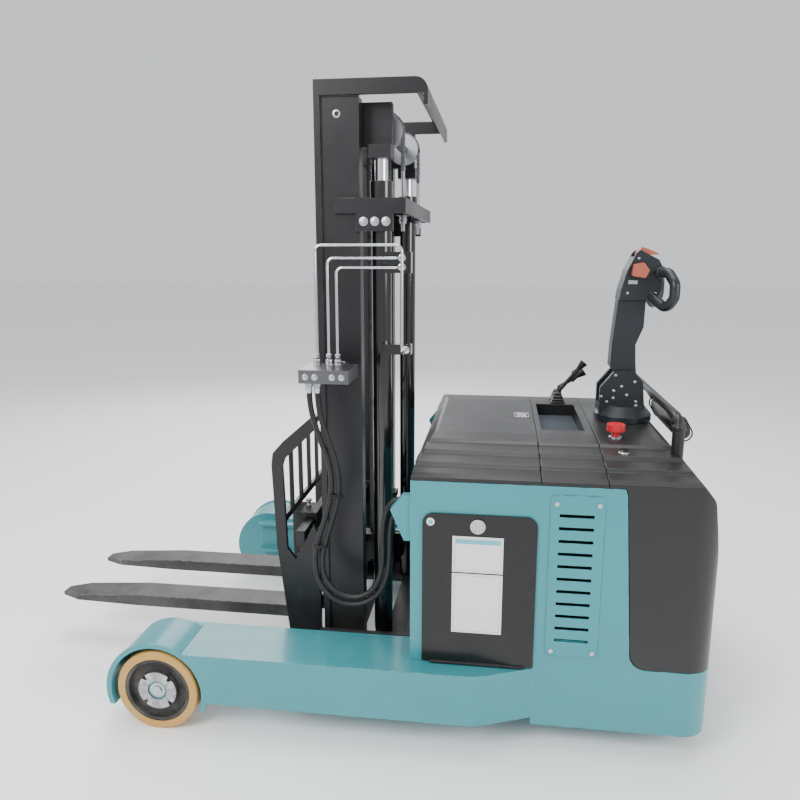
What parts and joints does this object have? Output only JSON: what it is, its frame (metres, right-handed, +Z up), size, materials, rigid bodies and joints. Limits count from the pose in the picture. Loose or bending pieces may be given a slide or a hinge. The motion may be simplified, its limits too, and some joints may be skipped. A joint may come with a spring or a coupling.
{
  "type": "walkie reach stacker",
  "caption": "Pedestrian reach stacker with straddle legs, a sliding two-stage mast, tilting forks, a tiller head and a fold-up step.",
  "frame": {"origin": "centre of the overall length and width, on the floor under the wheels", "axes": "+X from the forks towards the operator, +Y to the machine's right, +Z up"},
  "size_m": [2.212, 1.27, 1.862],
  "materials": {
    "teal_paint": "semi-gloss powder coat",
    "mast_paint": "satin black paint",
    "fork_steel": "worn black paint",
    "cover_plastic": "fine-grain moulded plastic",
    "door_paint": "satin black paint",
    "tiller_plastic": "moulded plastic",
    "tread": "cast polyurethane",
    "hub_paint": "painted casting",
    "chrome": "polished",
    "zinc": "zinc plated",
    "red_plastic": "glossy",
    "orange_plastic": "glossy",
    "hose_rubber": "matt",
    "pad_vinyl": "vinyl",
    "battery_case": "painted steel"
  },
  "bodies": {
    "chassis": {"outrigger_left": "teal_paint", "outrigger_right": "teal_paint", "body_shell": "teal_paint", "chassis_frame": "teal_paint", "battery": "battery_case", "hydraulic_power_unit": "battery_case", "motor_controller": "cover_plastic", "vent_panels": "teal_paint", "panel_screws": "zinc", "tray_cover": "cover_plastic", "rear_cowl": "cover_plastic", "lean_hoop": "mast_paint", "lean_pad": "pad_vinyl", "reach_barrels": "mast_paint"},
    "door_left": {"battery_door_left": "door_paint"},
    "latch_left": {"door_latch_left": "zinc"},
    "door_right": {"battery_door_right": "door_paint"},
    "latch_right": {"door_latch_right": "zinc"},
    "front_cover": {"battery_cover": "cover_plastic"},
    "cover_latch": {"cover_latch": "chrome"},
    "stop_button": {"emergency_stop_button": "red_plastic"},
    "key": {"ignition_key": "chrome"},
    "lift_lever": {"lift_lever": "hose_rubber"},
    "reach_lever": {"reach_lever": "hose_rubber"},
    "load_wheel_left": {"load_tyre_left": "tread", "load_hub_left": "hub_paint"},
    "load_wheel_right": {"load_tyre_right": "tread", "load_hub_right": "hub_paint"},
    "steering": {"drive_gearbox": "mast_paint", "drive_motor": "mast_paint", "tiller_base": "tiller_plastic"},
    "drive_wheel": {"drive_wheel": "tread"},
    "tiller": {"tiller_arm": "tiller_plastic", "tiller_head": "tiller_plastic"},
    "belly_button": {"belly_button": "red_plastic"},
    "throttle": {"throttle_butterfly": "orange_plastic"},
    "caster_left": {"caster_fork_left": "mast_paint"},
    "caster_wheel_left": {"caster_wheel_left": "tread"},
    "caster_right": {"caster_fork_right": "mast_paint"},
    "caster_wheel_right": {"caster_wheel_right": "tread"},
    "platform": {"stand_platform": "cover_plastic"},
    "mast": {"reach_carriage": "mast_paint", "outer_mast": "mast_paint", "lift_barrels": "mast_paint", "manifold_block": "mast_paint", "hydraulic_lines": "chrome", "reach_rods": "chrome", "hose_front": "hose_rubber", "hose_rear": "hose_rubber"},
    "rollers_front": {"reach_rollers_front": "zinc"},
    "rollers_rear": {"reach_rollers_rear": "zinc"},
    "inner_mast": {"inner_mast": "mast_paint", "lift_rods": "chrome", "lift_chains": "zinc"},
    "sheaves": {"chain_sheaves": "zinc"},
    "lift_carriage": {"lift_carriage": "mast_paint", "tilt_cylinder": "mast_paint"},
    "fork_frame": {"fork_frame": "mast_paint"},
    "fork_left": {"fork_left": "fork_steel"},
    "fork_right": {"fork_right": "fork_steel"}
  },
  "joints": [
    {"name": "mast_reach", "type": "slide", "parent": "chassis", "child": "mast", "axis": [-1, 0, 0], "range_m": [0, 0.48], "deforming": ["hose_front", "hose_rear"]},
    {"name": "front_rollers_spin", "type": "hinge", "parent": "mast", "child": "rollers_front", "pos_m": [-0.028, 0, 0.177], "axis": [0, 1, 0], "range_deg": [-540, 10]},
    {"name": "rear_rollers_spin", "type": "hinge", "parent": "mast", "child": "rollers_rear", "pos_m": [0.132, 0, 0.177], "axis": [0, 1, 0], "range_deg": [-540, 10]},
    {"name": "mast_lift", "type": "slide", "parent": "mast", "child": "inner_mast", "axis": [0, 0, 1], "range_m": [-0.06, 1.1], "deforming": ["lift_chains"]},
    {"name": "sheave_spin", "type": "hinge", "parent": "inner_mast", "child": "sheaves", "pos_m": [0.096, 0, 1.745], "axis": [0, 1, 0], "range_deg": [-80, 1300]},
    {"name": "carriage_lift", "type": "slide", "parent": "inner_mast", "child": "lift_carriage", "axis": [0, 0, 1], "range_m": [-0.06, 1.1], "deforming": ["lift_chains"]},
    {"name": "fork_tilt", "type": "hinge", "parent": "lift_carriage", "child": "fork_frame", "pos_m": [-0.076, 0, 0.232], "axis": [0, 1, 0], "range_deg": [-2, 1.5]},
    {"name": "fork_shift_left", "type": "slide", "parent": "fork_frame", "child": "fork_left", "axis": [0, -1, 0], "range_m": [-0.03, 0.11]},
    {"name": "fork_shift_right", "type": "slide", "parent": "fork_frame", "child": "fork_right", "axis": [0, 1, 0], "range_m": [-0.03, 0.11]},
    {"name": "load_wheel_spin_left", "type": "hinge", "parent": "chassis", "child": "load_wheel_left", "pos_m": [-0.528, -0.583, 0.125], "axis": [0, 1, 0], "continuous": true},
    {"name": "load_wheel_spin_right", "type": "hinge", "parent": "chassis", "child": "load_wheel_right", "pos_m": [-0.528, 0.583, 0.125], "axis": [0, 1, 0], "continuous": true},
    {"name": "tiller_steer", "type": "hinge", "parent": "chassis", "child": "steering", "pos_m": [0.857, 0, 0.115], "axis": [0, 0, 1], "range_deg": [-75, 75]},
    {"name": "drive_wheel_spin", "type": "hinge", "parent": "steering", "child": "drive_wheel", "pos_m": [0.857, 0, 0.115], "axis": [0, 1, 0], "continuous": true},
    {"name": "tiller_tilt", "type": "hinge", "parent": "steering", "child": "tiller", "pos_m": [0.857, 0, 0.965], "axis": [0, 1, 0], "range_deg": [0, 55], "stiffness_Nm_per_rad": 60, "springref_deg": -34.38},
    {"name": "belly_button_press", "type": "slide", "parent": "tiller", "child": "belly_button", "axis": [0, 0, -1], "range_m": [0, 0.005], "stiffness_N_per_m": 3000, "springref_m": -0.003},
    {"name": "throttle_turn", "type": "hinge", "parent": "tiller", "child": "throttle", "pos_m": [0.876, 0, 1.34], "axis": [0, 1, 0], "range_deg": [-25, 25], "stiffness_Nm_per_rad": 1.5},
    {"name": "caster_swivel_left", "type": "hinge", "parent": "chassis", "child": "caster_left", "pos_m": [0.872, -0.27, 0.2], "axis": [0, 0, 1], "continuous": true},
    {"name": "caster_wheel_spin_left", "type": "hinge", "parent": "caster_left", "child": "caster_wheel_left", "pos_m": [0.907, -0.27, 0.0625], "axis": [0, 1, 0], "continuous": true},
    {"name": "caster_swivel_right", "type": "hinge", "parent": "chassis", "child": "caster_right", "pos_m": [0.872, 0.27, 0.2], "axis": [0, 0, 1], "continuous": true},
    {"name": "caster_wheel_spin_right", "type": "hinge", "parent": "caster_right", "child": "caster_wheel_right", "pos_m": [0.907, 0.27, 0.0625], "axis": [0, 1, 0], "continuous": true},
    {"name": "platform_fold", "type": "hinge", "parent": "chassis", "child": "platform", "pos_m": [1.092, 0, 0.15], "axis": [0, 1, 0], "range_deg": [0, 88]},
    {"name": "door_swing_left", "type": "hinge", "parent": "chassis", "child": "door_left", "pos_m": [0.402, -0.578, 0.258], "axis": [1, 0, 0], "range_deg": [0, 80]},
    {"name": "door_swing_right", "type": "hinge", "parent": "chassis", "child": "door_right", "pos_m": [0.402, 0.578, 0.258], "axis": [-1, 0, 0], "range_deg": [0, 80]},
    {"name": "latch_turn_left", "type": "hinge", "parent": "door_left", "child": "latch_left", "pos_m": [0.402, -0.578, 0.668], "axis": [0, -1, 0], "range_deg": [0, 90]},
    {"name": "latch_turn_right", "type": "hinge", "parent": "door_right", "child": "latch_right", "pos_m": [0.402, 0.578, 0.668], "axis": [0, -1, 0], "range_deg": [0, 90]},
    {"name": "cover_open", "type": "hinge", "parent": "chassis", "child": "front_cover", "pos_m": [0.218, 0, 0.795], "axis": [0, -1, 0], "range_deg": [0, 60]},
    {"name": "cover_latch_lift", "type": "hinge", "parent": "front_cover", "child": "cover_latch", "pos_m": [0.54, 0, 0.852], "axis": [0, 1, 0], "range_deg": [0, 40]},
    {"name": "emergency_stop_press", "type": "slide", "parent": "chassis", "child": "stop_button", "axis": [0, 0, -1], "range_m": [0, 0.006]},
    {"name": "key_turn", "type": "hinge", "parent": "chassis", "child": "key", "pos_m": [0.804, -0.39, 0.838], "axis": [0, 0, 1], "range_deg": [0, 60]},
    {"name": "lift_lever_tilt", "type": "hinge", "parent": "chassis", "child": "lift_lever", "pos_m": [0.663, 0.24, 0.84], "axis": [0, 1, 0], "range_deg": [-12, 12], "stiffness_Nm_per_rad": 8},
    {"name": "reach_lever_tilt", "type": "hinge", "parent": "chassis", "child": "reach_lever", "pos_m": [0.663, 0.292, 0.84], "axis": [0, 1, 0], "range_deg": [-12, 12], "stiffness_Nm_per_rad": 8}
  ],
  "couplings": [
    {"joint": "front_rollers_spin", "follows": "mast_reach", "rad_per_m": -19.231},
    {"joint": "rear_rollers_spin", "follows": "mast_reach", "rad_per_m": -19.231},
    {"joint": "sheave_spin", "follows": "mast_lift", "rad_per_m": 19.608},
    {"joint": "carriage_lift", "follows": "mast_lift", "ratio": 1}
  ]
}
